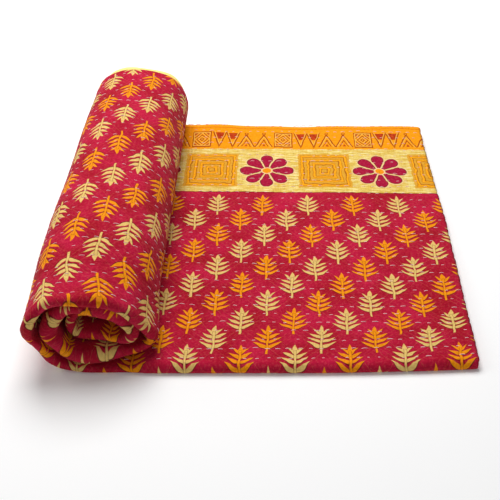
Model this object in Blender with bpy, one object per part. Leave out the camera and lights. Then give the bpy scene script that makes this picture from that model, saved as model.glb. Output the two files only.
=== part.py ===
"""A hand-stitched cotton quilt, folded in quarters across its width and part rolled along its length.

The whole quilt is one sheet of cloth, so it is one solid. It is modelled in the order in which it is put away:
a thin flat slab of cloth, folded in quarters (the last fold lies at the front), then rolled up from its left end
over its own upper side, with the right part left lying flat. X runs along the quilt's length, Y from the front
fold to the back edges, and Z up. Sizes are in metres, and the tables are in millimetres.
"""

import math

import bmesh
import bpy

# Driving sizes
QUILT_WIDTH = 1.524  # across the open quilt, 60 in
FOLDED_WIDTH = QUILT_WIDTH / 4
CLOTH = 0.0017  # thickness of the stitched cloth
PLY_GAP = 0.0003  # air between two plies
PLIES = 4
MM = 0.001

PLY_PITCH = CLOTH + PLY_GAP
BACK_FOLD_START = FOLDED_WIDTH - PLY_PITCH / 2 - CLOTH / 2
BUNDLE = PLIES * CLOTH + (PLIES - 1) * PLY_GAP  # thickness of the four plies together

PUFF_REACH = 0.060  # how far in from the front fold the plies still stand apart
NEAR_REACH = 0.095  # how far in the front end's own shape reaches before the roll is even
BACK_EDGE_OVERHANG = 0.0035  # the two border edges stand this far out past the back fold
LIFT_REACH = 0.055  # how far in from the back edge the upper plies rise
ROLL_LEFT = -0.200
ROLL_RIGHT = -0.084
FAR_TAPER = 0.003  # the roll is this much narrower at its far end
SAG = 0.0012  # height of the slow waves along the roll
SAG_LENGTH = 0.160

# Path of the middle of the folded bundle, from the flat right end to the core of the roll.
# x, z       the even part of the roll
# near_x, z  the front end, which has slumped
# recess     how far the front fold lies behind the frontmost point
# askew      how far the whole width is set back, because the quilt is rolled a little askew
# inward     how far the fold puffs open towards the core, and outward the other way
# lift       rise of the upper plies at the back edge
# steps      grid steps from this station to the next
COLUMNS = ("x", "z", "near_x", "near_z", "recess", "askew", "inward", "outward", "lift", "steps")
WINDING = (
    # flat part
    (198.0, 3.85, 198.0, 3.85, 8.0, 0.0, 0.0, 0.0, 2.0, 1),
    (110.0, 3.85, 110.0, 3.85, 4.5, 0.0, 0.0, 0.0, 3.0, 1),
    (20.0, 3.85, 20.0, 3.85, 1.5, 0.0, 0.0, 0.0, 2.0, 1),
    (-58.0, 3.85, -58.0, 3.85, 0.0, 0.0, 0.0, 0.0, 0.8, 2),
    (-110.0, 3.85, -108.0, 3.85, 0.5, 0.5, 0.0, 0.0, 3.5, 1),
    (-146.0, 3.85, -146.0, 3.85, 1.5, 2.0, 0.0, 0.0, 0.0, 2),
    # first turn, the outside of the roll
    (-182.0, 14.5, -174.0, 11.0, 3.0, 4.0, 1.0, 0.0, 0.0, 2),
    (-196.5, 42.0, -187.5, 38.0, 3.0, 4.0, 1.5, 0.0, 0.0, 3),
    (-186.0, 70.0, -184.5, 67.0, 3.0, 4.0, 0.5, 0.0, 0.0, 2),
    (-168.0, 81.5, -172.5, 77.5, 4.0, 4.0, 0.5, 0.0, 0.0, 2),
    (-142.0, 85.0, -148.0, 79.5, 5.0, 4.0, 1.0, 0.0, 0.0, 3),
    (-103.0, 74.0, -107.0, 68.0, 8.0, 4.0, 1.0, 0.5, 0.0, 3),
    (-88.0, 46.0, -88.0, 38.0, 14.0, 4.0, 1.0, 1.0, 0.0, 2),
    (-98.0, 22.2, -93.0, 19.6, 16.0, 4.0, 1.0, 0.0, 0.0, 2),
    # second turn
    (-139.0, 12.9, -132.0, 12.9, 1.0, 4.0, 8.0, 0.0, 0.0, 2),
    (-172.0, 20.0, -163.0, 16.5, 4.0, 4.0, 8.0, 0.0, 0.0, 2),
    (-186.2, 42.5, -175.5, 42.0, 7.0, 4.0, 8.0, 0.0, 0.0, 2),
    (-175.0, 66.0, -166.0, 62.5, 10.0, 4.0, 9.0, 0.0, 0.0, 2),
    (-142.0, 74.5, -142.0, 68.5, 13.0, 4.0, 5.0, 0.0, 0.0, 2),
    (-110.5, 65.0, -112.5, 58.5, 15.0, 4.0, 5.0, 0.0, 0.0, 2),
    (-98.0, 45.5, -98.8, 41.0, 14.0, 4.0, 4.5, 0.0, 0.0, 2),
    (-107.0, 28.5, -107.5, 29.5, 13.0, 4.0, 2.5, 0.0, 0.0, 2),
    # third turn
    (-138.0, 22.5, -131.0, 28.0, 11.0, 4.0, 2.0, 0.0, 0.0, 2),
    (-164.0, 28.5, -150.0, 31.0, 13.0, 4.0, 1.5, 0.0, 0.0, 2),
    (-176.0, 44.0, -156.0, 40.5, 16.0, 4.0, 1.0, 0.0, 0.0, 2),
    (-165.0, 58.5, -149.0, 49.5, 19.0, 4.0, 0.5, 0.0, 0.0, 2),
    (-142.0, 63.5, -134.0, 51.4, 21.0, 4.0, 0.0, 0.0, 0.0, 2),
    (-118.5, 55.5, -121.0, 48.6, 23.0, 4.0, 0.0, 0.0, 0.0, 2),
    (-110.5, 43.0, -113.6, 41.5, 26.0, 4.0, 0.0, 0.0, 0.0, 2),
    # the end, curled up in the core
    (-120.5, 34.5, -121.5, 35.6, 34.0, 4.0, 0.0, 0.0, 0.0, 2),
    (-142.0, 33.2, -138.5, 35.4, 46.0, 4.0, 0.0, 0.0, 0.0, 2),
    (-158.0, 37.5, -151.0, 37.5, 52.0, 4.0, 0.0, 0.0, 0.0, 2),
    (-158.0, 49.0, -150.5, 45.2, 54.0, 4.0, 0.0, 0.0, 0.0, 2),
    (-142.0, 51.2, -137.5, 46.2, 55.0, 4.0, 0.0, 0.0, 0.0, 1),
    (-124.0, 47.0, -127.0, 44.2, 56.0, 4.0, 0.0, 0.0, 0.0, 0),
)

# Grid lines across one ply, as distances from the front fold
PLY_LINES = (14.0, 34.0, 62.0, 95.0, 230.0)
FRONT_FOLD_STEPS = 4
BACK_FOLD_STEPS = 2

CLOTH_COLOUR = (0.52, 0.045, 0.075, 1.0)
CLOTH_ROUGHNESS = 0.85


def smooth(share):
    """A soft step from 0 to 1."""
    held = min(max(share, 0.0), 1.0)
    return held * held * (3 - 2 * held)


def winding_rows():
    """The table as one dictionary for each station, in metres but for its steps."""
    rows = []
    for numbers in WINDING:
        row = dict(zip(COLUMNS, numbers))
        rows.append({name: row[name] if name == "steps" else row[name] * MM for name in COLUMNS})
    return rows


def between(a, b, c, d, t):
    """A curve through b and c, as t goes from 0 to 1, that heads for a and d."""
    curve = 2 * b + (c - a) * t + (2 * a - 5 * b + 4 * c - d) * t**2 + (3 * b - a - 3 * c + d) * t**3
    return curve / 2


def stations(rows):
    """The table's columns, read at every grid step along the quilt."""
    found = []
    last = len(rows) - 1
    for i in range(last):
        near = [rows[max(i - 1, 0)], rows[i], rows[i + 1], rows[min(i + 2, last)]]
        steps = rows[i]["steps"]
        for k in range(steps):
            found.append({name: between(*(r[name] for r in near), k / steps) for name in COLUMNS})
    found.append(dict(rows[last]))
    return found


def path_point(station, y):
    """Where the middle of the bundle runs at this station, at a distance y from the front fold."""
    near = 1 - smooth(y / NEAR_REACH)
    x = station["x"] + (station["near_x"] - station["x"]) * near
    z = station["z"] + (station["near_z"] - station["z"]) * near
    return x, z


def path_normal(all_stations, i, y):
    """Unit vector across the bundle, towards the core, or up on the flat part."""
    x0, z0 = path_point(all_stations[max(i - 1, 0)], y)
    x1, z1 = path_point(all_stations[min(i + 1, len(all_stations) - 1)], y)
    length = math.hypot(x1 - x0, z1 - z0)
    return (z1 - z0) / length, -(x1 - x0) / length


def fold_lines():
    """The grid lines across the open quilt, edge to edge: which ply or fold each one lies on, and where."""
    fold_ply = [d * MM for d in PLY_LINES] + [BACK_FOLD_START]
    edge_ply = fold_ply + [FOLDED_WIDTH + BACK_EDGE_OVERHANG]

    def ply(level, places):
        return [("ply", level, y) for y in places]

    def fold(kind, steps):
        return [(kind, 0, math.pi * k / steps) for k in range(1, steps)]

    lines = ply(3, reversed(edge_ply))
    lines += fold("outer fold", FRONT_FOLD_STEPS)
    lines += ply(0, fold_ply)
    lines += fold("back fold", BACK_FOLD_STEPS)
    lines += ply(1, reversed(fold_ply))
    lines += fold("inner fold", FRONT_FOLD_STEPS)
    lines += ply(2, edge_ply)
    return lines


def openness(station, y):
    """How far the plies stand apart here, towards the core and away from it."""
    share = 1 - smooth(y / PUFF_REACH)
    return station["inward"] * share, station["outward"] * share


def folded(station, line, side):
    """A point of the cloth after folding: y from the front fold, and height in the bundle.

    side is -1 on the face that ends up inside the fold and +1 on the one outside it.
    """
    kind, level, place = line
    offset = side * CLOTH / 2
    if kind == "back fold":
        radius = PLY_PITCH / 2 + offset
        return BACK_FOLD_START + radius * math.sin(place), CLOTH / 2 + PLY_PITCH / 2 - radius * math.cos(place)
    if kind == "ply":
        inward, outward = openness(station, place)
        upper = level >= 2
        height = CLOTH / 2 + level * PLY_PITCH + (inward if upper else -outward)
        if upper:
            rise = smooth(1 - (FOLDED_WIDTH - place) / LIFT_REACH)
            height += station["lift"] * rise
        faces_up = level in (1, 3)
        return place, height + (offset if faces_up else -offset)
    inward, outward = openness(station, 0.0)
    spread = (3 if kind == "outer fold" else 1) * PLY_PITCH + inward + outward
    middle = BUNDLE / 2 + (inward - outward) / 2
    outer_radius = (3 * PLY_PITCH + inward + outward) / 2
    centre = outer_radius + CLOTH / 2
    if kind == "outer fold":
        radius = spread / 2 + offset
        return centre - radius * math.sin(place), middle + radius * math.cos(place)
    radius = spread / 2 - offset
    return centre - radius * math.sin(place), middle - radius * math.cos(place)


def rolled(all_stations, i, y, height):
    """A point of the folded quilt after rolling, in the part's own frame before it is centred."""
    station = all_stations[i]
    x, z = path_point(station, y)
    across_x, across_z = path_normal(all_stations, i, y)
    out = height - BUNDLE / 2
    x += across_x * out
    z += across_z * out
    y += station["askew"] + station["recess"] * (1 - smooth(y / NEAR_REACH))
    return settle(x, y, z)


def settle(x, y, z):
    """The slow unevenness of the whole roll: narrower at the far end, and waved along its length."""
    in_roll = smooth((x - ROLL_LEFT) / (ROLL_RIGHT - ROLL_LEFT))
    x -= FAR_TAPER * in_roll * y / FOLDED_WIDTH
    above = smooth((z - BUNDLE) / 0.05)
    z += SAG * above * math.sin(2 * math.pi * (y / SAG_LENGTH + x / (2 * SAG_LENGTH)))
    return x, y, z


def flat_slab(name, columns, rows):
    """The open quilt as a thin closed slab with one grid cell for each step, and a note of each point's place."""
    mesh = bmesh.new()
    bmesh.ops.create_grid(mesh, x_segments=columns - 1, y_segments=rows - 1, size=0.5)
    place = mesh.verts.layers.float_vector.new("place")
    for vert in mesh.verts:
        column = round((vert.co.x + 0.5) * (columns - 1))
        row = round((vert.co.y + 0.5) * (rows - 1))
        vert[place] = (column, row, -1)
    lifted = bmesh.ops.extrude_face_region(mesh, geom=mesh.faces[:], use_keep_orig=True)
    for item in lifted["geom"]:
        if isinstance(item, bmesh.types.BMVert):
            item[place].z = 1
    return mesh, place


def build_quilt(name):
    """The quilt: slab, fold, roll."""
    all_stations = stations(winding_rows())
    lines = fold_lines()
    mesh, place = flat_slab(name, len(all_stations), len(lines))
    for vert in mesh.verts:
        column, row, side = vert[place]
        station = all_stations[int(column)]
        y, height = folded(station, lines[int(row)], side)
        vert.co = rolled(all_stations, int(column), y, height)
    centre_on_base(mesh)
    split_faces(mesh, place, [folded(all_stations[0], line, 0)[0] for line in lines])
    bmesh.ops.recalc_face_normals(mesh, faces=mesh.faces)
    data = bpy.data.meshes.new(name)
    mesh.to_mesh(data)
    mesh.free()
    data.shade_smooth()
    return bpy.data.objects.new(name, data)


def split_faces(mesh, place, reach):
    """Cuts every four-sided face in two, the same way on every ply, so that plies 0.3 mm apart stay clear.

    reach is how far each grid line lies from the front fold.
    """

    def order(vert):
        column, row, side = vert[place]
        return column, reach[int(row)], side, row

    for face in mesh.faces[:]:
        corners = sorted(face.verts, key=order)
        bmesh.utils.face_split(face, corners[0], corners[-1])


def centre_on_base(mesh):
    """Moves the mesh so that the origin is under the middle of its box, on the surface it lies on."""
    lows = [min(vert.co[axis] for vert in mesh.verts) for axis in range(3)]
    highs = [max(vert.co[axis] for vert in mesh.verts) for axis in range(3)]
    shift = [-(lows[0] + highs[0]) / 2, -(lows[1] + highs[1]) / 2, -lows[2]]
    bmesh.ops.translate(mesh, verts=mesh.verts, vec=shift)


def cloth_material():
    material = bpy.data.materials.new("printed cotton")
    material.use_nodes = True
    shader = material.node_tree.nodes["Principled BSDF"]
    shader.inputs["Base Color"].default_value = CLOTH_COLOUR
    shader.inputs["Roughness"].default_value = CLOTH_ROUGHNESS
    shader.inputs["Metallic"].default_value = 0.0
    return material


def main():
    for old in list(bpy.data.objects):
        bpy.data.objects.remove(old)
    parts = bpy.data.collections.new("folded quilt")
    bpy.context.scene.collection.children.link(parts)
    quilt = build_quilt("quilt")
    quilt.data.materials.append(cloth_material())
    parts.objects.link(quilt)


main()
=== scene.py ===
# %% [markdown]
# # A quilt, folded in quarters and part rolled
# Two layers of soft cotton are held together by long rows of hand running stitch, which pull the cloth into small
# puckers. The quilt is folded in quarters across its width, then rolled up from one end, and the rest is left lying
# flat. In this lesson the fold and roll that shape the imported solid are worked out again, much finer and in places a
# few millimetres nearer to the real cloth. The cloth is then printed and sewn: a printed face cloth, a plain back
# cloth inside the folds, and real thread.

import math
import random

import bmesh
import bpy
from mathutils import Matrix, Vector, noise


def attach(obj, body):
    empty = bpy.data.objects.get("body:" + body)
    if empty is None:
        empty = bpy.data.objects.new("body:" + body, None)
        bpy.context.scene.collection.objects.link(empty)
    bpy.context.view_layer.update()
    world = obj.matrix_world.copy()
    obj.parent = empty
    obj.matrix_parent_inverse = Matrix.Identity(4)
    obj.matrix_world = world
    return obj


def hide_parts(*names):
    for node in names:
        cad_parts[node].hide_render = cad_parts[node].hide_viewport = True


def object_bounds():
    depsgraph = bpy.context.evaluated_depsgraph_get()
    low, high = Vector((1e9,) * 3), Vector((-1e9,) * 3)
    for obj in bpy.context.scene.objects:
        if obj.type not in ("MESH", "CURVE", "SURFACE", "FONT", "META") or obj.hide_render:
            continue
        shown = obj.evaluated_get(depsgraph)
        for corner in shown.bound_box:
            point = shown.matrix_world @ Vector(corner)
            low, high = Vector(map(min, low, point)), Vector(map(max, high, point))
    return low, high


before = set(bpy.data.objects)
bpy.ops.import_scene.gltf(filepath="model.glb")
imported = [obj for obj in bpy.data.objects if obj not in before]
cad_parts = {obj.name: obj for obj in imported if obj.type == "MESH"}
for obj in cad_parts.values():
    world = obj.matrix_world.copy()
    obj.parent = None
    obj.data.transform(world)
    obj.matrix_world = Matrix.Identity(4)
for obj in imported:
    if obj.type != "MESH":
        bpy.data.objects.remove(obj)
CAD_LOW, CAD_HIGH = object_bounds()
print("solid's box", [round(v, 4) for v in CAD_HIGH - CAD_LOW], "m")

# %% [markdown]
# ## Sizes
# Cloth is measured flat, so the fold and roll tables are in millimetres along and across the open quilt, and one
# factor turns them into metres. A place in these tables becomes a place in the frame by a plain shift: the right end
# and the front of the solid say how far.

# %% Driving sizes
MM = 0.001
QUILT_WIDTH = 1.524
FOLDED_WIDTH = QUILT_WIDTH / 4
CLOTH = 0.0017
PLY_GAP = 0.0003
PLIES = 4
PLY_PITCH = CLOTH + PLY_GAP
BUNDLE = PLIES * CLOTH + (PLIES - 1) * PLY_GAP
FOLD_CENTRE = 1.5 * PLY_PITCH + CLOTH / 2
BACK_FOLD_START = FOLDED_WIDTH - PLY_PITCH / 2 - CLOTH / 2
BACK_EDGE = FOLDED_WIDTH + 0.0035
RIGHT_END = 0.203
SOLID_END = 0.198  # where the solid's right end lies in the table; the cloth stands a little proud of it
SHIFT = Vector((CAD_HIGH.x - SOLID_END, CAD_LOW.y, 0.0))
print("shift from the tables to the frame", [round(v, 4) for v in SHIFT])

# %% [markdown]
# ## Camera
# The photograph looks down on the quilt from in front, at a little over forty degrees. The camera's foot, height and
# turns were worked out from the corners of the flat part, so they are given from that foot and not from the quilt.

# %% The camera
CAMERA_FOOT = Vector((33.0, -432.0, 0.0)) * MM + SHIFT
CAMERA_HEIGHT = 0.5509
LOOKS_DOWN = math.radians(42.5)
LOOKS_LEFT = math.radians(3.629)
LEANS = math.radians(-1.832)
LENS = 56.2


def add_camera():
    """Makes the camera from its height, how far it looks down and to the left, and how far it leans."""
    sin_down, cos_down = math.sin(LOOKS_DOWN), math.cos(LOOKS_DOWN)
    sin_left, cos_left = math.sin(LOOKS_LEFT), math.cos(LOOKS_LEFT)
    ahead = Vector((-sin_left * cos_down, cos_left * cos_down, -sin_down))
    level_right = Vector((cos_left, sin_left, 0.0))
    level_up = level_right.cross(ahead)
    right = math.cos(LEANS) * level_right + math.sin(LEANS) * level_up
    up = math.cos(LEANS) * level_up - math.sin(LEANS) * level_right
    data = bpy.data.cameras.new("camera")
    data.lens = LENS
    data.sensor_width = 36.0
    camera = bpy.data.objects.new("camera", data)
    turn = Matrix((right, up, -ahead)).transposed().to_4x4()
    camera.matrix_world = Matrix.Translation(CAMERA_FOOT + Vector((0.0, 0.0, CAMERA_HEIGHT))) @ turn
    bpy.context.scene.collection.objects.link(camera)
    bpy.context.scene.camera = camera
    return camera


camera = add_camera()
print("camera at", [round(v, 3) for v in camera.location])

# %% [markdown]
# ## Floor and light
# The quilt lies on a plain white floor in even, soft light from large panels, so its shadows are faint and wide. A
# big panel overhead, a little behind, gives the roll its light top and its darker side towards the flat part.

# %% Floor
FLOOR_SIZE = 8.0
FLOOR_GLOW = 0.08  # a studio's white table is lit from below too
FLOOR_WHITE = (0.93, 0.93, 0.93, 1.0)
WHITE = (1.0, 1.0, 1.0, 1.0)


def add_floor():
    mesh = bmesh.new()
    bmesh.ops.create_grid(mesh, x_segments=1, y_segments=1, size=FLOOR_SIZE / 2)
    data = bpy.data.meshes.new("floor")
    mesh.to_mesh(data)
    mesh.free()
    floor = bpy.data.objects.new("floor", data)
    bpy.context.scene.collection.objects.link(floor)
    material = bpy.data.materials.new("white floor")
    material.use_nodes = True
    shader = material.node_tree.nodes["Principled BSDF"]
    shader.inputs["Base Color"].default_value = FLOOR_WHITE
    shader.inputs["Roughness"].default_value = 0.9
    shader.inputs["Specular IOR Level"].default_value = 0.1
    shader.inputs["Emission Color"].default_value = WHITE
    shader.inputs["Emission Strength"].default_value = FLOOR_GLOW
    data.materials.append(material)
    return floor


add_floor()

# %% Light
PANELS = {
    # name: place, size in metres, watts
    "overhead": ((-0.15, 0.55, 1.3), 0.9, 21.0),
    "left": ((-1.4, 0.1, 1.1), 0.9, 5.0),
    "front": ((0.5, -1.6, 1.3), 1.2, 2.0),
}
WORLD_LIGHT = 0.16


def add_panel(name, place, size, watts):
    light = bpy.data.lights.new(name, "AREA")
    light.size = size
    light.energy = watts
    panel = bpy.data.objects.new(name, light)
    panel.location = place
    panel.rotation_euler = (-Vector(place)).to_track_quat("-Z", "Y").to_euler()
    bpy.context.scene.collection.objects.link(panel)


for panel_name, (place, size, watts) in PANELS.items():
    add_panel(panel_name, place, size, watts)
world = bpy.data.worlds.new("studio")
world.use_nodes = True
world.node_tree.nodes["Background"].inputs["Color"].default_value = WHITE
world.node_tree.nodes["Background"].inputs["Strength"].default_value = WORLD_LIGHT
bpy.context.scene.world = world
bpy.context.scene.view_settings.view_transform = "Standard"

# %% [markdown]
# ## The winding
# Someone who rolls a quilt starts at its far end. Here the table goes the other way, from the flat right end, round
# the outside of the roll, and in to the core. Each row is one station on the middle line of the folded bundle. The
# near columns give the front end, which has slumped and spread, and the others the even part behind it.

# %% Table of the winding
COLUMNS = ("x", "z", "near_x", "near_z", "recess", "askew", "inward", "outward", "lift")
WINDING = (
    # flat part
    (203.0, 3.85, 203.0, 3.85, 14.0, 0.0, 0.0, 0.0, 2.0),
    (110.0, 3.85, 110.0, 3.85, 8.0, 0.0, 0.0, 0.0, 3.0),
    (20.0, 3.85, 20.0, 3.85, 5.0, 0.0, 0.0, 0.0, 2.0),
    (-58.0, 3.85, -58.0, 3.85, 3.5, 0.0, 0.0, 0.0, 4.5),
    (-110.0, 3.85, -108.0, 3.85, 1.5, 0.5, 0.0, 0.0, 3.5),
    (-146.0, 3.85, -146.0, 3.85, -1.0, 2.0, 0.0, 0.0, 0.0),
    # first turn, the outside of the roll
    (-182.0, 14.5, -174.0, 11.0, -0.5, 4.0, 1.0, 0.0, 0.0),
    (-196.5, 42.0, -187.5, 38.0, -0.5, 4.0, 1.5, 0.0, 0.0),
    (-186.0, 70.0, -184.5, 67.0, 1.0, 4.0, 1.5, 0.0, 0.0),
    (-168.0, 81.5, -172.5, 77.5, 5.0, 4.0, 1.5, 0.0, 0.0),
    (-142.0, 85.0, -148.0, 79.5, 9.0, 4.0, 1.0, 0.0, 0.0),
    (-103.0, 74.0, -107.0, 68.0, 10.0, 4.0, 1.0, 0.5, 0.0),
    (-88.0, 46.0, -88.0, 38.0, 13.0, 4.0, 1.0, 1.0, 0.0),
    (-98.0, 22.2, -93.0, 19.6, 14.0, 4.0, 1.0, 0.0, 0.0),
    # second turn
    (-139.0, 12.9, -132.0, 12.9, -1.5, 4.0, 8.0, 0.0, 0.0),
    (-172.0, 20.0, -163.0, 16.5, 1.0, 4.0, 8.0, 0.0, 0.0),
    (-186.2, 42.5, -175.5, 42.0, 4.0, 4.0, 8.5, 0.0, 0.0),
    (-175.0, 66.0, -166.0, 62.5, 7.0, 4.0, 10.0, 0.0, 0.0),
    (-142.0, 74.5, -142.0, 68.5, 12.0, 4.0, 6.0, 0.0, 0.0),
    (-110.5, 65.0, -112.5, 58.5, 15.0, 4.0, 5.0, 0.0, 0.0),
    (-98.0, 45.5, -98.8, 41.0, 14.0, 4.0, 4.5, 0.0, 0.0),
    (-107.0, 28.5, -107.5, 29.5, 13.0, 4.0, 2.5, 0.0, 0.0),
    # third turn
    (-138.0, 22.5, -131.0, 28.0, 11.0, 4.0, 2.0, 0.0, 0.0),
    (-164.0, 28.5, -150.0, 31.0, 13.0, 4.0, 1.5, 0.0, 0.0),
    (-176.0, 44.0, -156.0, 40.5, 16.0, 4.0, 1.0, 0.0, 0.0),
    (-165.0, 58.5, -149.0, 49.5, 19.0, 4.0, 0.5, 0.0, 0.0),
    (-142.0, 63.5, -134.0, 51.4, 21.0, 4.0, 0.0, 0.0, 0.0),
    (-118.5, 55.5, -121.0, 48.6, 23.0, 4.0, 0.0, 0.0, 0.0),
    (-110.5, 43.0, -113.6, 41.5, 26.0, 4.0, 0.0, 0.0, 0.0),
    # the end, curled up in the core
    (-120.5, 34.5, -121.5, 35.6, 34.0, 4.0, 0.0, 0.0, 0.0),
    (-142.0, 33.2, -138.5, 35.4, 46.0, 4.0, 0.0, 0.0, 0.0),
    (-158.0, 37.5, -151.0, 37.5, 52.0, 4.0, 0.0, 0.0, 0.0),
    (-158.0, 49.0, -150.5, 45.2, 54.0, 4.0, 0.0, 0.0, 0.0),
    (-142.0, 51.2, -137.5, 46.2, 55.0, 4.0, 0.0, 0.0, 0.0),
    (-124.0, 47.0, -127.0, 44.2, 56.0, 4.0, 0.0, 0.0, 0.0),
)
ROWS = [{name: size * MM for name, size in zip(COLUMNS, row)} for row in WINDING]
LAST_ROW = len(ROWS) - 1
CREASE_ROW = 4.0  # where the flat part meets the roll
FIRST_TURN = (5.2, 13.6)  # rows between which the outside of the roll shows
PUFF_REACH = 0.060
NEAR_REACH = 0.095
LIFT_REACH = 0.055
ROLL_LEFT = -0.200
ROLL_RIGHT = -0.084
FAR_TAPER = 0.005
END_DRAWN = 0.005
SAG = 0.0012
SAG_LENGTH = 0.160
SLUMP = 0.003
SLUMP_REACH = 0.085
print(len(ROWS), "stations")

# %% Reading the table
NORMAL_STEP = 0.35  # how far to either side, in rows, the path is read for its direction


def smooth(share):
    """A soft step from 0 to 1."""
    held = min(max(share, 0.0), 1.0)
    return held * held * (3 - 2 * held)


def station_at(t):
    """The table's columns at a place t, counted in rows, on a smooth curve through the rows."""
    t = min(max(t, 0.0), LAST_ROW)
    i = min(int(t), LAST_ROW - 1)
    k = t - i
    a, b, c, d = (ROWS[max(i - 1, 0)], ROWS[i], ROWS[i + 1], ROWS[min(i + 2, LAST_ROW)])
    weights = (-k + 2 * k**2 - k**3, 2 - 5 * k**2 + 3 * k**3, k + 4 * k**2 - 3 * k**3, -(k**2) + k**3)
    return {n: (weights[0] * a[n] + weights[1] * b[n] + weights[2] * c[n] + weights[3] * d[n]) / 2 for n in COLUMNS}


def path_point(station, y):
    """The middle of the bundle at this station, at a distance y from the front fold."""
    near = 1 - smooth(y / NEAR_REACH)
    x = station["x"] + (station["near_x"] - station["x"]) * near
    z = station["z"] + (station["near_z"] - station["z"]) * near
    return x, max(z, BUNDLE / 2)


class Column:
    """One station of the winding, with the two beside it that give its direction."""

    def __init__(self, t):
        self.t = t
        self.here = station_at(t)
        self.before = station_at(t - NORMAL_STEP)
        self.after = station_at(t + NORMAL_STEP)

    def across(self, y):
        """Unit vector towards the core, or up on the flat part."""
        x0, z0 = path_point(self.before, y)
        x1, z1 = path_point(self.after, y)
        length = math.hypot(x1 - x0, z1 - z0)
        return (z1 - z0) / length, -(x1 - x0) / length


# %% [markdown]
# ## The fold
# A section across the folded quilt is one line: the top ply, round the front fold to the bottom ply, back and up
# round the back fold, and so on inwards. A place on it is a kind (a ply or one of the folds), a level and a distance
# or an angle. At the front of the roll the plies spring apart, which opens the fold into a fat, rounded lip.

# %% Folding and rolling one point
EDGE_SLIP = 0.0110
SLIP_ROWS = (5.0, 18.0)
EDGE_WAVE = 0.0014  # how far the back edge of the flat part wanders
EDGE_FROM = 0.30  # distance from the front at which a ply begins to slip
EDGE_GROWS = 0.085
NEAREST_LINE = 0.014  # closer to the front than this, a ply's lines are spread out again from the fold's centre


def openness(station, y):
    share = 1 - smooth(y / PUFF_REACH)
    return station["inward"] * share, station["outward"] * share


def folded(station, line, side):
    """Distance from the front, and height in the bundle. side is -1 on the back cloth and +1 on the face."""
    kind, level, place = line
    offset = side * CLOTH / 2
    if kind == "back fold":
        radius = PLY_PITCH / 2 + offset
        return BACK_FOLD_START + radius * math.sin(place), CLOTH / 2 + PLY_PITCH / 2 - radius * math.cos(place)
    inward, outward = openness(station, 0.0)
    outer_radius = (3 * PLY_PITCH + inward + outward) / 2
    centre = outer_radius + CLOTH / 2
    if kind == "ply":
        if place < NEAREST_LINE:
            spread = (place - FOLD_CENTRE) / (NEAREST_LINE - FOLD_CENTRE)
            place = centre + (NEAREST_LINE - centre) * spread
        inward, outward = openness(station, place)
        upper = level >= 2
        height = CLOTH / 2 + level * PLY_PITCH + (inward if upper else -outward)
        if upper:
            height += station["lift"] * smooth(1 - (FOLDED_WIDTH - place) / LIFT_REACH)
        return place, height + (offset if level in (1, 3) else -offset)
    middle = BUNDLE / 2 + (inward - outward) / 2
    if kind == "outer fold":
        radius = outer_radius + offset
        return centre - radius * math.sin(place), middle + radius * math.cos(place)
    radius = (PLY_PITCH + inward + outward) / 2 - offset
    return centre - radius * math.sin(place), middle - radius * math.cos(place)


def edge_slip(t, line):
    """How far the free edges have slipped out past the back fold, round the outside of the roll."""
    kind, level, place = line
    if kind != "ply" or level < 2:
        return 0.0
    near_edge = smooth((place - EDGE_FROM) / EDGE_GROWS)
    if t < SLIP_ROWS[0]:
        return EDGE_WAVE * math.sin(5.1 * t) * math.sin(2.3 * t + 1.0) * near_edge
    on_roll = smooth((t - SLIP_ROWS[0]) / 1.2) * smooth((SLIP_ROWS[1] - t) / 3.0)
    uneven = 0.8 + 0.2 * math.sin(2.3 * t)
    return EDGE_SLIP * on_roll * uneven * near_edge


def rolled(column, y, height):
    """The point in the frame."""
    x, z = path_point(column.here, y)
    across_x, across_z = column.across(y)
    out = height - BUNDLE / 2
    x += across_x * out
    z += across_z * out
    y += column.here["askew"] + column.here["recess"] * (1 - smooth(y / NEAR_REACH))
    return settled(x, y, z) + SHIFT


def settled(x, y, z):
    """The slow unevenness of the whole quilt, which moves all plies and turns at a place together."""
    x -= FAR_TAPER * smooth((x - ROLL_LEFT) / (ROLL_RIGHT - ROLL_LEFT)) * y / FOLDED_WIDTH
    x -= END_DRAWN * smooth(x / RIGHT_END) * smooth((y - 0.2) / 0.18)
    above = smooth((z - BUNDLE) / 0.05)
    z += SAG * above * math.sin(2 * math.pi * (y / SAG_LENGTH + x / (2 * SAG_LENGTH)))
    near = SLUMP * (1 - smooth(y / SLUMP_REACH)) * smooth((ROLL_RIGHT + 0.02 - x) / 0.02) * smooth(z / 0.034 - 0.1)
    push_x = -near * math.cos(2 * math.pi * (z - 0.050) / 0.060)
    push_y = near * math.cos(2 * math.pi * (x / 0.055 + z / 0.065))
    push_z = near * math.cos(2 * math.pi * (x + 0.142) / 0.085)
    return Vector((x + push_x, y + push_y, z + push_z))


# %% [markdown]
# ## Measuring along and across the cloth
# The print and the rows of stitching belong to the cloth, so they need to know how far along and across it a point
# lies. Along is measured from the flat right end, on the outer ply, where the print shows. Across is measured from
# the middle of the front fold, positive towards the edge of the top ply.

# %% Along and across
MEASURED_AT = 0.2  # distance from the front fold at which lengths are measured
OUTER_PLY = 1.5 * PLY_PITCH
LENGTH_STEPS = 40


def measured_lengths():
    """Length along the outer ply from the right end to every LENGTH_STEPS-th of a row."""
    lengths = [0.0]
    last = None
    for k in range(LAST_ROW * LENGTH_STEPS + 1):
        column = Column(k / LENGTH_STEPS)
        x, z = path_point(column.here, MEASURED_AT)
        across_x, across_z = column.across(MEASURED_AT)
        point = (x - across_x * OUTER_PLY, z - across_z * OUTER_PLY)
        if last:
            lengths.append(lengths[-1] + math.dist(point, last))
        last = point
    return lengths


LENGTHS = measured_lengths()


def along(t):
    place = min(max(t, 0.0), LAST_ROW) * LENGTH_STEPS
    i = min(int(place), len(LENGTHS) - 2)
    return LENGTHS[i] + (LENGTHS[i + 1] - LENGTHS[i]) * (place - i)


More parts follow.
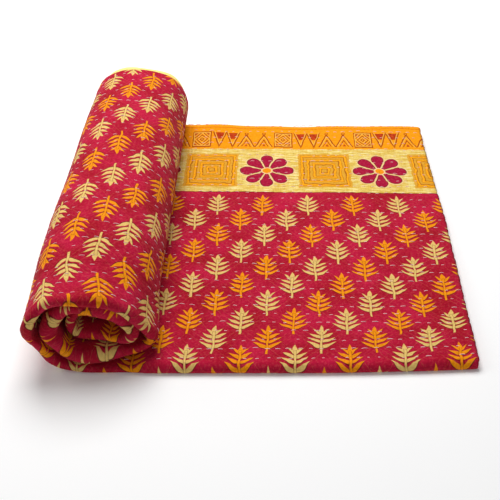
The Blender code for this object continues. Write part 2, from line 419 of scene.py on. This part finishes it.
FRONT_ARC = math.pi / 2 * 1.5 * PLY_PITCH
SMALL_ARC = math.pi * PLY_PITCH / 2
PLY_RUN = BACK_FOLD_START - FOLD_CENTRE


def across(line):
    kind, level, place = line
    if kind == "outer fold":
        return FRONT_ARC - 1.5 * PLY_PITCH * place
    if kind == "back fold":
        return -FRONT_ARC - PLY_RUN - PLY_PITCH / 2 * place
    if kind == "inner fold":
        return -FRONT_ARC - 2 * PLY_RUN - SMALL_ARC - PLY_PITCH / 2 * place
    if level == 3:
        return FRONT_ARC + place - FOLD_CENTRE
    if level == 0:
        return -FRONT_ARC - (place - FOLD_CENTRE)
    if level == 1:
        return -FRONT_ARC - 2 * PLY_RUN - SMALL_ARC + (place - FOLD_CENTRE)
    return -FRONT_ARC - 2 * PLY_RUN - 2 * SMALL_ARC - (place - FOLD_CENTRE)


TOP_EDGE = across(("ply", 3, BACK_EDGE))
INNER_EDGE = across(("ply", 2, BACK_EDGE))
CLOTH_LENGTH = along(LAST_ROW)
CLOTH_WIDTH = TOP_EDGE - INNER_EDGE
print("quilt", round(CLOTH_WIDTH, 3), "m wide,", round(CLOTH_LENGTH, 3), "m long")

# %% [markdown]
# ## Rows of running stitch
# The rows run the long way, about eleven millimetres apart, and none is quite straight. One small function says where
# a row lies, and the pucker of the cloth and the thread itself both ask it.

# %% Where the rows lie
STITCH_ROW = 0.0116
STITCH_STEP = 0.0100
STITCH_LENGTH = 0.0056
GROOVE_WIDTH = 0.0024
ROW_WAVE = (0.0008, 0.113)  # size and length of the slow wave of a row, and then of its quick one
ROW_SHAKE = (0.0005, 0.047)


def row_across(row, u):
    """How far across the cloth a row of stitching lies, at a distance u along it."""
    wave = ROW_WAVE[0] * math.sin(2 * math.pi * u / ROW_WAVE[1] + 1.7 * row)
    shake = ROW_SHAKE[0] * math.sin(2 * math.pi * u / ROW_SHAKE[1] + 2.9 * row)
    return row * STITCH_ROW + wave + shake


def groove(u, v):
    """How far the cloth is drawn in by its stitches here, from 0 to 1."""
    row = round(v / STITCH_ROW)
    off = abs(v - row_across(row, u)) / GROOVE_WIDTH
    pull = 0.7 + 0.3 * math.cos(2 * math.pi * (u / STITCH_STEP + 0.37 * row))
    return pull * math.exp(-off * off)


# %% [markdown]
# ## Puckers and soft waves
# Between the rows the cloth stands up in small soft puffs, and over a hand's width it is never flat. Both are height
# added outwards along the surface. It is full where the cloth is free, and almost nothing where plies press together.

# %% Height of the cloth's surface
PUFF_HEIGHT = 0.0009
CRUMPLE_HEIGHT = 0.0007
WAVE_HEIGHT = 0.0016
CRUMPLE_SIZE = 0.014
WAVE_SIZE = 0.075


def crumple(u, v, size):
    """Soft uneven height from 0 to 1, about size across."""
    return 0.5 + 0.5 * noise.noise(Vector((u / size, v / size, 3.1)))


def freedom(t, line):
    """How freely the cloth can rise at this place, from 0 to 1."""
    kind, level, place = line
    first, last = FIRST_TURN
    round_roll = smooth((t - first) / 0.6) * smooth((last - t) / 0.4)
    if kind == "outer fold":
        return 0.5 * max(round_roll, smooth((CREASE_ROW - t) / 0.4))
    if level == 3 and kind == "ply":
        return smooth((CREASE_ROW - 0.05 - t) / 0.25)
    if level == 0 and kind == "ply":
        return round_roll
    return 0.0


def relief(t, line, u, v):
    free = freedom(t, line)
    if free == 0.0:
        return 0.0
    puff = PUFF_HEIGHT * (1 - groove(u, v))
    small = CRUMPLE_HEIGHT * crumple(u, v, CRUMPLE_SIZE)
    wave = WAVE_HEIGHT * smooth(crumple(u, v, WAVE_SIZE)) if t < CREASE_ROW + 1 else 0.0
    return free * (puff + small + wave)


# %% [markdown]
# ## Making the cloth
# Each cloth starts as a flat grid, as the real one does. Its columns are places along the winding and its lines are
# places across it, closer together where the cloth shows and where it bends. Every grid point is then folded and
# rolled. The face cloth turns over the quilt's edges in a narrow hem, so its outermost columns and lines lie on the
# back.

# %% Columns along and lines across
SHOWN_STEP = 0.0032
HIDDEN_STEP = 0.0065
HIDDEN_PLY_STEP = 0.016
LAST_SHOWN_ROW = 14
HEM = 0.008
HEM_LINES = ((HEM, -1.0), (0.0, -0.7), (-0.0004, 0.0), (0.0, 0.7))  # distance in from the edge, and side


def winding_places(shown_step, hidden_step):
    """Places t along the winding, closer where the cloth shows."""
    places = []
    for i in range(LAST_ROW):
        step = shown_step if i < LAST_SHOWN_ROW else hidden_step
        count = math.ceil((along(i + 1) - along(i)) / step)
        places += [i + k / count for k in range(count)]
    return places + [float(LAST_ROW)]


def steps_between(first, last, step):
    count = max(math.ceil(abs(last - first) / step), 1)
    return [first + (last - first) * k / count for k in range(count + 1)]


def section_lines(shown_step, hidden_step, fold_steps, small_steps):
    """Lines across the open quilt, from the top ply's edge to the inner ply's edge."""
    shown = steps_between(FOLD_CENTRE, BACK_FOLD_START, shown_step)
    hidden = steps_between(FOLD_CENTRE, BACK_FOLD_START, hidden_step)

    def ply(level, places):
        return [("ply", level, y) for y in places]

    def fold(kind, steps):
        return [(kind, 0, math.pi * k / steps) for k in range(1, steps)]

    lines = ply(3, reversed(shown)) + fold("outer fold", fold_steps)
    lines += ply(0, shown) + fold("back fold", small_steps)
    lines += ply(1, reversed(hidden)) + fold("inner fold", fold_steps)
    return lines + ply(2, hidden)


def hemmed(places, first, last, per_metre):
    """Adds the turned hem at both ends of a list of (place, side)."""
    start = [(first + inward * per_metre[0], side) for inward, side in HEM_LINES]
    end = [(last - inward * per_metre[1], side) for inward, side in reversed(HEM_LINES)]
    return start + places + end


# %% Grid to folded cloth
def cloth_mesh(name, columns, lines, with_relief):
    """columns are (t, side) and lines are (line, side); a point takes the lower of its two sides."""
    mesh = bmesh.new()
    bmesh.ops.create_grid(mesh, x_segments=len(columns) - 1, y_segments=len(lines) - 1, size=0.5)
    uv_layer = mesh.loops.layers.uv.new("cloth")
    stations = [(Column(t), along(t)) for t, side in columns]
    widths = [across(line) for line, side in lines]
    measures = []
    for vert in mesh.verts:
        c = round((vert.co.x + 0.5) * (len(columns) - 1))
        r = round((vert.co.y + 0.5) * (len(lines) - 1))
        side = min(columns[c][1], lines[r][1])
        column, u = stations[c]
        y, height = folded(column.here, lines[r][0], side)
        vert.co = rolled(column, y + edge_slip(column.t, lines[r][0]), height)
        rise = relief(column.t, lines[r][0], u, widths[r]) if with_relief and side > 0.9 else 0.0
        measures.append((u, widths[r], rise))
    mesh.normal_update()
    if outward_share(mesh) < 0.5:
        bmesh.ops.reverse_faces(mesh, faces=mesh.faces)
        mesh.normal_update()
    moves = [vert.normal * measures[vert.index][2] for vert in mesh.verts]
    for vert, move in zip(mesh.verts, moves):
        vert.co += move
    for face in mesh.faces:
        face.smooth = True
        for loop in face.loops:
            loop[uv_layer].uv = measures[loop.vert.index][:2]
    data = bpy.data.meshes.new(name)
    mesh.to_mesh(data)
    mesh.free()
    return data


def outward_share(mesh):
    """Share of the flat part's highest faces that point up."""
    top = [f for f in mesh.faces if f.calc_center_median().x > SHIFT.x and abs(f.normal.z) > 0.9]
    top = [f for f in top if f.calc_center_median().z > BUNDLE - CLOTH / 2]
    return sum(f.normal.z > 0 for f in top) / max(len(top), 1)


# %% [markdown]
# ## Node arithmetic
# A print is a drawing made of sums: distances, steps and repeats in millimetres of cloth. Math nodes do that, but
# hundreds of links are hard to read. This small class lets a formula be written as a formula, and builds the nodes.

# %% A number in a shader
class Num:
    """A number that varies over the cloth. Arithmetic on it adds Math nodes."""

    tree = None

    def __init__(self, socket):
        self.socket = socket

    @classmethod
    def node(cls, kind, *terms, clamp=False):
        math_node = cls.tree.nodes.new("ShaderNodeMath")
        math_node.operation = kind
        math_node.use_clamp = clamp
        for slot_in, term in zip(math_node.inputs, terms):
            if isinstance(term, Num):
                cls.tree.links.new(term.socket, slot_in)
            else:
                slot_in.default_value = term
        return cls(math_node.outputs[0])

    def __add__(self, other):
        return Num.node("ADD", self, other)

    __radd__ = __add__

    def __sub__(self, other):
        return Num.node("SUBTRACT", self, other)

    def __rsub__(self, other):
        return Num.node("SUBTRACT", other, self)

    def __mul__(self, other):
        return Num.node("MULTIPLY", self, other)

    __rmul__ = __mul__

    def __truediv__(self, other):
        return Num.node("DIVIDE", self, other)

    def __neg__(self):
        return self * -1.0

    def __abs__(self):
        return Num.node("ABSOLUTE", self)

    def __pow__(self, other):
        return Num.node("POWER", self, other)

    def floor(self):
        return Num.node("FLOOR", self)

    def round(self):
        return Num.node("ROUND", self)

    def wrap(self, size):
        """The remainder, from 0 to size."""
        return self - (self / size).floor() * size

    def held(self, low, high):
        return low_of(high_of(self, low), high)

    def over(self, edge, blur=0.12):
        """0 below the edge and 1 above it, with a soft step."""
        return Num.node("MULTIPLY_ADD", self - edge, 1 / (2 * blur), 0.5, clamp=True)

    def under(self, edge, blur=0.12):
        return 1.0 - self.over(edge, blur)


def high_of(*terms):
    """The largest of its terms."""
    best = terms[0]
    for term in terms[1:]:
        best = Num.node("MAXIMUM", best, term)
    return best


def low_of(*terms):
    """The smallest of its terms."""
    best = terms[0]
    for term in terms[1:]:
        best = Num.node("MINIMUM", best, term)
    return best


# %% Noise and colour
def srgb(red, green, blue):
    """A colour seen as 0 to 255 values, in the linear light that a shader works in."""
    return tuple((v / 255) ** 2.2 for v in (red, green, blue)) + (1.0,)


def cloth_places(scale_u=1.0, scale_v=1.0):
    """The cloth's own coordinates, stretched, as a vector for a texture."""
    tree = Num.tree
    coordinates = tree.nodes.new("ShaderNodeUVMap")
    coordinates.uv_map = "cloth"
    stretch = tree.nodes.new("ShaderNodeMapping")
    stretch.inputs["Scale"].default_value = (scale_u, scale_v, 1.0)
    tree.links.new(coordinates.outputs["UV"], stretch.inputs["Vector"])
    return stretch.outputs["Vector"]


def noise_num(scale_u, scale_v, detail=2.0, roughness=0.5):
    """Noise from about 0 to 1, with so many spots in a metre each way."""
    texture = Num.tree.nodes.new("ShaderNodeTexNoise")
    texture.noise_dimensions = "2D"
    texture.inputs["Scale"].default_value = 1.0
    texture.inputs["Detail"].default_value = detail
    texture.inputs["Roughness"].default_value = roughness
    Num.tree.links.new(cloth_places(scale_u, scale_v), texture.inputs["Vector"])
    return Num(texture.outputs["Factor" if "Factor" in texture.outputs else "Fac"])


def mix(share, first, second, blend="MIX"):
    """Mixes two colours, each a socket or a plain colour."""
    node = Num.tree.nodes.new("ShaderNodeMix")
    node.data_type = "RGBA"
    node.blend_type = blend
    for name, value in (("Factor_Float", share), ("A_Color", first), ("B_Color", second)):
        socket = next(s for s in node.inputs if s.identifier == name)
        if isinstance(value, Num):
            Num.tree.links.new(value.socket, socket)
        elif isinstance(value, (tuple, float)):
            socket.default_value = value
        else:
            Num.tree.links.new(value, socket)
    return next(s for s in node.outputs if s.identifier == "Result_Color")


CRIMSON = srgb(166, 16, 40)
BRIGHT_RED = srgb(194, 26, 66)
DARK_RED = srgb(84, 4, 20)
ORANGE = srgb(246, 148, 4)
CREAM = srgb(232, 194, 112)

# %% [markdown]
# ## The leaves
# The field is block printed with small upright leaves in half-drop rows, orange and cream by turns. A leaf has a
# stem, three pairs of blades that curve upwards to a point, and a crown of three lobes. It is the same on both sides
# of its stem, so one formula in the distance from the stem draws all of it. The blades repeat up the stem, so they
# are one blade that is counted off. Rolling has drawn the outer ply a little askew, and its print with it.

# %% One leaf
LEAF_PITCH_U = 49.1
LEAF_PITCH_V = 49.3
LEAF_FIRST_U = 241.4
LEAF_FIRST_V = 214.0
LEAF_DRIFT = 1.09  # sideways step from one row of leaves to the next
LEAF_BOW = 0.00016  # the printed columns bow a little across the cloth
BOW_MIDDLE = 145.0
FOLD_START = 4.0  # just short of the front fold, where the cloth begins to be drawn by the rolling
ROLL_SHIFT_U = 11.3  # rolling has drawn the outer ply a little askew to the top one
SHIFT_GROWS = 60.0
ROLL_STRETCH = 0.08  # and stretched it across
BLADE_ROOT = 8.2
BLADE_PITCH = 6.2
BLADE_REACH = 13.4
BLADE_HALF = 2.0
LOBE_REACH = 7.2
LOBE_HALF = 2.1
TIP_HALF = 2.4
CROWN_BASE = 24.0
LEAF_TIP = 36.0


def blade_width(share, half):
    """Half the width of a blade that is rounded at the stem, widest before its middle and pointed at its end."""
    held = (share * 0.87 + 0.13).held(0.0, 1.0)
    return (Num.node("SINE", (held ** 0.8) * math.pi) ** 0.8) * half - 0.1


def leaf(x, y):
    """How far inside a leaf a point is, in mm: its blades, their dark misprinted edge, and its stem."""
    s = abs(x)
    up = y - (s ** 1.5) * 0.15 - BLADE_ROOT
    n = (up / BLADE_PITCH).round().held(0.0, 2.0)
    e = up - n * BLADE_PITCH
    half = blade_width(s / (BLADE_REACH - n * 1.2), BLADE_HALF)
    lobe_off = y - s * 1.1 - CROWN_BASE
    lobe_half = blade_width(s / LOBE_REACH, LOBE_HALF)
    tip = blade_width((y - CROWN_BASE) / (LEAF_TIP - CROWN_BASE), TIP_HALF) - s
    tip = low_of(tip, y - CROWN_BASE, LEAF_TIP - y)
    blades = high_of(half - abs(e), lobe_half - abs(lobe_off), tip)
    edge = high_of(half - abs(e + 0.9), lobe_half - abs(lobe_off + 0.9))
    stem = low_of(1.0 - s, y, CROWN_BASE + 4.0 - y)
    return blades, edge, stem


def leaf_layer(u, v, first_v, odd):
    """One of the two half-drop layers of leaves, and which of them are cream."""
    m = Num.node("CEIL", (first_v - v) / LEAF_PITCH_V)
    y = v - first_v + m * LEAF_PITCH_V
    drift = (m * 2.0 + odd) * LEAF_DRIFT
    place = (LEAF_FIRST_U - drift - u) / LEAF_PITCH_U - 0.5 * odd
    i = place.round()
    x = (place - i) * LEAF_PITCH_U
    printed = (m + 0.5) * 4.0  # no leaf is printed beyond the first row
    return [low_of(part, printed) for part in leaf(x, y)], (i + m + 1.0 - odd).wrap(2.0)


def leaf_colours(u, v, ground):
    bow = (v.held(0.0, LEAF_FIRST_V) - BOW_MIDDLE) ** 2.0
    past_fold = (FOLD_START - v).held(0.0, 300.0)
    u = u - bow * LEAF_BOW - 0.5 + (past_fold / SHIFT_GROWS).held(0.0, 1.0) * ROLL_SHIFT_U
    v = v + past_fold * ROLL_STRETCH
    for odd in (0.0, 1.0):
        (blades, edge, stem), pale = leaf_layer(u, v, LEAF_FIRST_V - 0.5 * LEAF_PITCH_V * odd, odd)
        ink = mix(pale.over(0.5, 0.05), ORANGE, CREAM)
        ground = mix(edge.over(0.0, 0.25) * 0.8, ground, DARK_RED)
        ground = mix(blades.over(0.0, 0.25), ground, ink)
        ground = mix((stem + 0.6).over(0.0, 0.2) * 0.45, ground, DARK_RED)
        ground = mix(stem.over(0.0, 0.2), ground, ink)
    return ground


# %% [markdown]
# ## The border
# Along both long edges runs a border: a pale band woven with uneven, slubby yarn and printed with squares and
# flowers by turns, then a narrow orange band of small squares and triangles, and last the plain hem. All of it is
# measured from the cloth's edge.

# %% Flowers and squares on the pale band
BORDER_PITCH = 131.3
FLOWER_FIRST_U = 58.5
SQUARE_OFFSET = 64.0
BORDER_LINE = 130.0  # from the edge, where the leaves stop
MOTIF_LINE = 48.5  # from the edge, where the pale band stops
HEM_LINE = 9.0
BAND_MIDDLE = 91.0
PALE_YELLOW = srgb(236, 206, 104)
OCHRE = srgb(224, 162, 50)
BROWN = srgb(168, 92, 18)
FLOWER_RED = srgb(170, 18, 60)
HALO = srgb(248, 206, 150)
PALE_HEM = srgb(250, 234, 140)  # the hem of the part that is rolled up is pale
ROLL_START = 330.0


def flower(x, y):
    """A flower with eight petals: how far inside a petal, inside the pale halo round it, and from the middle."""
    far = (x * x * 0.9 + y * y * 1.02) ** 0.5
    angle = Num.node("ARCTAN2", y, x)
    eighth = math.pi / 4
    bend = angle - (angle / eighth).round() * eighth
    run = far * Num.node("COSINE", bend)
    side = far * abs(Num.node("SINE", bend))
    end = 7.4 - ((run - 21.6) ** 2.0 * 0.86 + side ** 2.0) ** 0.5
    stalk = low_of(run * 0.375 - 0.6 - side, 21.6 - run)
    petal = high_of(end, stalk)
    return petal, petal + 1.3, far


def band_squares(x, y):
    """Concentric squares: how far inside the outermost one, and the place in each ring."""
    reach = high_of(abs(x), abs(y) * 0.97)
    return 30.5 - reach, (reach / 7.0).wrap(1.0)


def pale_band(u, d, wobble):
    y = BAND_MIDDLE - d
    slub = noise_num(60.0, 700.0, 2.0, 0.6)
    cross_slub = noise_num(700.0, 50.0, 2.0, 0.6)
    colour = mix(slub.over(0.54, 0.06) * 0.55, PALE_YELLOW, srgb(206, 160, 50))
    colour = mix(cross_slub.over(0.55, 0.06) * 0.5, colour, srgb(212, 168, 66))
    colour = mix(slub.under(0.42, 0.05) * 0.6, colour, srgb(255, 244, 180))
    place = (FLOWER_FIRST_U - u) / BORDER_PITCH
    x = (place - place.round()) * BORDER_PITCH
    petal, petal_edge, far = flower(x + wobble, y)
    colour = mix(petal_edge.over(0.0, 0.3) * 0.7, colour, HALO)
    colour = mix(petal.over(0.0, 0.2), colour, DARK_RED)
    colour = mix(petal.over(0.7, 0.3), colour, FLOWER_RED)
    colour = mix(far.under(6.3, 0.3), colour, HALO)
    colour = mix(far.under(4.6, 0.3), colour, ORANGE)
    square_place = (FLOWER_FIRST_U + SQUARE_OFFSET - u) / BORDER_PITCH
    square_x = (square_place - square_place.round()) * BORDER_PITCH
    inside, ring = band_squares(square_x + wobble * 2.4, y - 1.0 + wobble * 1.4)
    rings = mix(ring.over(0.5, 0.04), OCHRE, srgb(250, 168, 20))
    rings = mix(low_of(ring.over(0.40, 0.05), ring.under(0.55, 0.05)), rings, BROWN)
    rings = mix(low_of(ring.over(0.88, 0.04), ring.under(1.02, 0.04)) * 0.6, rings, BROWN)
    return mix(inside.over(0.0, 0.25), colour, rings)


# %% Squares and triangles on the orange band
MOTIF_PITCH = 98.5
MOTIF_FIRST_U = 83.2
MOTIF_HEIGHT = 28.0
MOTIF_BASE = 45.0  # from the edge, where the motifs stand
BAND_ORANGE = srgb(250, 156, 6)
MOTIF_BROWN = srgb(150, 34, 10)
MOTIF_RED = srgb(206, 70, 14)


def line_at(value, half=0.75):
    """1 where a value is near nothing, so that an outline is drawn there."""
    return abs(value).under(half, 0.25)


def motif_band(u, d, wobble):
    up = MOTIF_BASE - d
    place = (MOTIF_FIRST_U - u) / MOTIF_PITCH
    x = place.wrap(1.0) * MOTIF_PITCH + wobble
    level = up / MOTIF_HEIGHT
    sx = abs(x - 11.0)
    sy = abs(up - MOTIF_HEIGHT / 2)
    box = high_of(sx, sy * 0.8)
    diamond = sx + sy * 0.85
    in_box = box.under(11.8, 0.2)
    lines = low_of(in_box, line_at(box - 10.9, 0.7))
    pale = high_of(line_at(box - 9.4, 0.5), low_of(box.under(9.0), line_at(diamond.wrap(4.4) - 0.4, 0.45)))
    lines = high_of(lines, low_of(box.under(9.0), line_at(diamond.wrap(4.4) - 2.2, 0.75), diamond.under(13.0)))
    filled = low_of(box.under(9.0), diamond.over(13.4)) * 0.8
    for middle in (32.5, 48.5):
        side = abs(x - middle) - level * 8.2
        lines = high_of(lines, low_of(line_at(side, 0.8), level.over(0.0), level.under(1.0)))
        pale = high_of(pale, low_of(line_at(side + 1.5, 0.45), level.over(0.1), level.under(1.0)))
        filled = high_of(filled, low_of(side.under(-2.0), level.over(0.52, 0.02), level.under(0.93, 0.02)))
    for middle in (65.0, 86.0):
        side = abs(x - middle) - (1.0 - level / 0.86) * 10.4
        roof = low_of(level.under(0.86, 0.02), level.over(0.02, 0.02))
        lines = high_of(lines, low_of(line_at(side, 0.8), roof))
        pale = high_of(pale, low_of(line_at(side + 1.6, 0.45), roof))
        lines = high_of(lines, low_of(line_at(side + 4.6, 0.65), level.under(0.55, 0.02), level.over(0.04, 0.02)))
        dot = ((x - middle) ** 2.0 + (up - 25.6) ** 2.0) ** 0.5
        lines = high_of(lines, line_at(dot - 1.7, 0.55))
        filled = high_of(filled, low_of(side.under(-7.6), level.over(0.05, 0.02)) * 0.8)
    colour = mix(filled, BAND_ORANGE, MOTIF_RED)
    colour = mix(low_of(filled, noise_num(240.0, 240.0).over(0.45, 0.2)) * 0.6, colour, MOTIF_BROWN)
    colour = mix(pale * 0.6, colour, PALE_YELLOW)
    return mix(lines * 0.85, colour, MOTIF_BROWN)


# %% [markdown]
# ## The printed face cloth
# The bands are laid over the field in the order in which they were printed. Every edge wanders a little, as a block
# print's does, and the colour is patchy, because the cloth has been worn and washed. The roughness is high, with a
# little sheen for the fuzz of cotton, and the bump holds the weave and the fine crinkle of the quilting.

# %% Face cloth material
WEAVE_THREADS = 1400.0  # threads in a metre


def new_material(name):
    material = bpy.data.materials.new(name)
    material.use_nodes = True
    Num.tree = material.node_tree
    return material, material.node_tree.nodes["Principled BSDF"]


def weave_height():
    """The over and under of plain weave, as a height from 0 to 1."""
    u, v = cloth_uv()
    warp = Num.node("SINE", u * (math.pi * WEAVE_THREADS * MM))
    weft = Num.node("SINE", v * (math.pi * WEAVE_THREADS * MM))
    return warp * weft * 0.5 + 0.5


def cloth_uv():
    """Along and across the cloth, in millimetres."""
    split = Num.tree.nodes.new("ShaderNodeSeparateXYZ")
    Num.tree.links.new(cloth_places(1000.0, 1000.0), split.inputs["Vector"])
    return Num(split.outputs["X"]), Num(split.outputs["Y"])


def add_bump(shader, height, distance, strength=1.0):
    bump = Num.tree.nodes.new("ShaderNodeBump")
    bump.inputs["Distance"].default_value = distance
    bump.inputs["Strength"].default_value = strength
    Num.tree.links.new(height.socket, bump.inputs["Height"])
    Num.tree.links.new(bump.outputs["Normal"], shader.inputs["Normal"])


def cotton_finish(shader, height, distance):
    shader.inputs["Roughness"].default_value = 0.88
    shader.inputs["Specular IOR Level"].default_value = 0.12
    shader.inputs["Sheen Weight"].default_value = 0.03
    shader.inputs["Sheen Roughness"].default_value = 0.5
    add_bump(shader, height, distance)


def printed_cotton():
    material, shader = new_material("printed cotton")
    u, v = cloth_uv()
    wobble = (noise_num(95.0, 95.0, 1.0) - 0.5) * 2.6
    wobble_v = (noise_num(110.0, 80.0, 1.0) - 0.5) * 2.6
    u_print, v_print = u + wobble, v + wobble_v
    fade = noise_num(26.0, 26.0, 3.0, 0.6)
    ground = mix(fade.over(0.5, 0.2), CRIMSON, BRIGHT_RED)
    colour = leaf_colours(u_print, v_print, ground)
    from_edge = low_of(TOP_EDGE / MM - v, v - INNER_EDGE / MM)
    d = from_edge + wobble_v * 0.6
    colour = mix(d.under(BORDER_LINE + 0.8, 0.3), colour, DARK_RED)
    colour = mix(d.under(BORDER_LINE, 0.3), colour, pale_band(u, d, wobble * 0.6))
    colour = mix(d.under(MOTIF_LINE, 0.3), colour, motif_band(u, d, wobble * 0.5))
    hem = low_of(d.under(HEM_LINE, 0.3), u.over(ROLL_START, 10.0))
    colour = mix(hem, colour, PALE_HEM)
    colour = mix(line_at(d - HEM_LINE, 0.5) * 0.7, colour, MOTIF_RED)
    mottle = noise_num(420.0, 420.0, 4.0, 0.65)
    colour = mix(mottle.over(0.62, 0.1) * 0.05, colour, srgb(255, 210, 170))
    colour = mix(mottle.under(0.42, 0.1) * 0.16, colour, srgb(60, 2, 10))
    Num.tree.links.new(colour, shader.inputs["Base Color"])
    crinkle = noise_num(260.0, 420.0, 3.0, 0.55)
    cotton_finish(shader, crinkle * 0.8 + weave_height() * 0.12, 0.0007)
    return material


# %% Back cloth material
def plain_cotton():
    material, shader = new_material("plain cotton")
    patch = noise_num(18.0, 18.0, 3.0, 0.6)
    colour = mix(patch.over(0.5, 0.3), srgb(226, 168, 62), srgb(240, 190, 92))
    fleck = noise_num(60.0, 1200.0, 3.0, 0.6)
    colour = mix(fleck.over(0.6, 0.1) * 0.3, colour, srgb(196, 132, 40))
    Num.tree.links.new(colour, shader.inputs["Base Color"])
    crinkle = noise_num(180.0, 300.0, 3.0, 0.55)
    cotton_finish(shader, crinkle + weave_height() * 0.12, 0.0007)
    return material


# %% Place the two cloths
def add_piece(name, data, material):
    data.materials.append(material)
    piece = bpy.data.objects.new(name, data)
    bpy.context.scene.collection.objects.link(piece)
    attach(piece, "root")
    return piece


def face_columns():
    places = [(t, 1.0) for t in winding_places(SHOWN_STEP, HIDDEN_STEP)]
    per_metre = (1 / (along(1.0)), 1 / (along(LAST_ROW) - along(LAST_ROW - 1)))
    return hemmed(places, 0.0, float(LAST_ROW), per_metre)


def face_lines():
    lines = [(line, 1.0) for line in section_lines(SHOWN_STEP, HIDDEN_PLY_STEP, 8, 4)]
    top = [(("ply", 3, BACK_EDGE - inward), side) for inward, side in HEM_LINES]
    inner = [(("ply", 2, BACK_EDGE - inward), side) for inward, side in reversed(HEM_LINES)]
    return top + lines + inner


face = add_piece("quilt_face", cloth_mesh("quilt_face", face_columns(), face_lines(), True), printed_cotton())
print("face cloth", len(face.data.polygons), "faces")
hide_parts("quilt")

BACK_SIDE = -0.82  # the back cloth lies just inside the turned hem
BACK_STEP = 0.008
back_columns = [(t, BACK_SIDE) for t in winding_places(BACK_STEP, BACK_STEP)]
back_lines = [(line, BACK_SIDE) for line in section_lines(HIDDEN_PLY_STEP, 0.020, 6, 3)]
back = add_piece("quilt_back", cloth_mesh("quilt_back", back_columns, back_lines, False), plain_cotton())
print("back cloth", len(back.data.polygons), "faces")

# %% [markdown]
# ## Thread
# A running stitch shows as a short dash of thread that dives into the cloth at both ends. One stitch is a thin
# five-sided rod, bent down at its ends, and a copy of it is laid at each place where a stitch shows, turned to
# follow the surface and its row. Each is a little longer, shorter or more slanted than the next, as by hand.

# %% One stitch
THREAD = 0.00033
SKIPPED = 0.14  # share of stitches that have sunk out of sight
random.seed(11)


def stitch_template():
    mesh = bmesh.new()
    bmesh.ops.create_cone(
        mesh, cap_ends=True, cap_tris=False, segments=5, radius1=THREAD, radius2=THREAD, depth=1.0,
        matrix=Matrix.Rotation(math.pi / 2, 4, "Y"),
    )
    rings = [e for e in mesh.edges if abs(e.verts[0].co.x - e.verts[1].co.x) > 0.5]
    bmesh.ops.subdivide_edges(mesh, edges=rings, cuts=2, use_grid_fill=True)
    for vert in mesh.verts:
        end = abs(vert.co.x) * 2
        vert.co.z -= 0.0007 * smooth((end - 0.4) / 0.6)
    return mesh


# %% Where stitches show
SHOWN_ZONES = (
    # first t, last t, level, distances from the front fold
    (0.02, 4.15, 3, 0.003, 0.3835),
    (5.3, 13.3, 0, 0.003, 0.3785),
    (0.02, 4.2, 0, 0.003, 0.010),
)
SURFACE_LIFT = 0.0002
LAST_STITCH_ROW = int(0.39 / STITCH_ROW)


def surface_point(t, level, y):
    """A point of the face cloth, with its relief."""
    column = Column(t)
    line = ("ply", level, y)
    place_y, height = folded(column.here, line, 1.0)
    rise = relief(t, line, along(t), across(line))
    outward = 1 if level == 3 else -1
    return rolled(column, place_y, height + outward * rise)


def t_at(u):
    """The place along the winding that lies at a length u."""
    low, high = 0.0, float(LAST_ROW)
    for _ in range(30):
        middle = (low + high) / 2
        low, high = (middle, high) if along(middle) < u else (low, middle)
    return low


def distance_on(v):
    """Distance from the front fold of a place across the cloth, on the top or bottom ply."""
    return FOLD_CENTRE + abs(v) - FRONT_ARC


def stitch_places():
    """Place along and across the cloth, and the ply level, of every stitch that shows."""
    found = []
    for first, last, level, near, far in SHOWN_ZONES:
        sign = 1 if level == 3 else -1
        rows = [sign * k for k in range(int(near / STITCH_ROW), LAST_STITCH_ROW + 1)]
        for row in rows:
            u = along(first) + random.uniform(0.0, STITCH_STEP)
            while u < along(last):
                v = row_across(row, u) + random.gauss(0.0, 0.0003)
                y = distance_on(v)
                if near < y < far and random.random() > SKIPPED:
                    found.append((u, v, level))
                u += STITCH_STEP * random.uniform(0.86, 1.14)
    return found


def add_stitches(name, places):
    template = stitch_template()
    mesh = template.copy()
    source = mesh.faces[:] + mesh.edges[:] + mesh.verts[:]
    shape = [vert.co.copy() for vert in template.verts]
    for u, v, level in places:
        half = STITCH_LENGTH / 2 * random.uniform(0.75, 1.2)
        slant = random.gauss(0.0, 0.00018)
        sign = 1 if level == 3 else -1
        y0, y1 = distance_on(v - slant), distance_on(v + slant)
        start = surface_point(t_at(u - half), level, y0)
        end = surface_point(t_at(u + half), level, y1)
        beside = surface_point(t_at(u), level, distance_on(v) + 0.002)
        middle = surface_point(t_at(u), level, distance_on(v))
        lengthways = (end - start).normalized()
        normal = lengthways.cross(beside - middle).normalized() * -sign
        sideways = normal.cross(lengthways)
        turn = Matrix((lengthways, sideways, normal)).transposed().to_4x4()
        length = (end - start).length
        copied = bmesh.ops.duplicate(mesh, geom=source)["geom"]
        verts = [item for item in copied if isinstance(item, bmesh.types.BMVert)]
        for vert, co in zip(verts, shape):
            local = Vector((co.x * length, co.y, co.z + SURFACE_LIFT))
            vert.co = middle + turn.to_3x3() @ local
    bmesh.ops.delete(mesh, geom=[item for item in source if isinstance(item, bmesh.types.BMVert)], context="VERTS")
    for mesh_face in mesh.faces:
        mesh_face.smooth = True
    data = bpy.data.meshes.new(name)
    mesh.to_mesh(data)
    mesh.free()
    template.free()
    return data


def thread_material():
    material, shader = new_material("stitch thread")
    coordinates = Num.tree.nodes.new("ShaderNodeTexCoord")
    patch = Num.tree.nodes.new("ShaderNodeTexNoise")
    patch.inputs["Scale"].default_value = 60.0
    Num.tree.links.new(coordinates.outputs["Object"], patch.inputs["Vector"])
    share = Num(patch.outputs["Factor" if "Factor" in patch.outputs else "Fac"])
    colour = mix(share.over(0.5, 0.2), srgb(238, 178, 184), srgb(255, 226, 222))
    Num.tree.links.new(colour, shader.inputs["Base Color"])
    shader.inputs["Roughness"].default_value = 0.75
    shader.inputs["Sheen Weight"].default_value = 0.1
    return material


places = stitch_places()
thread = add_piece("quilt_thread", add_stitches("quilt_thread", places), thread_material())
print(len(places), "stitches,", len(thread.data.polygons), "faces")
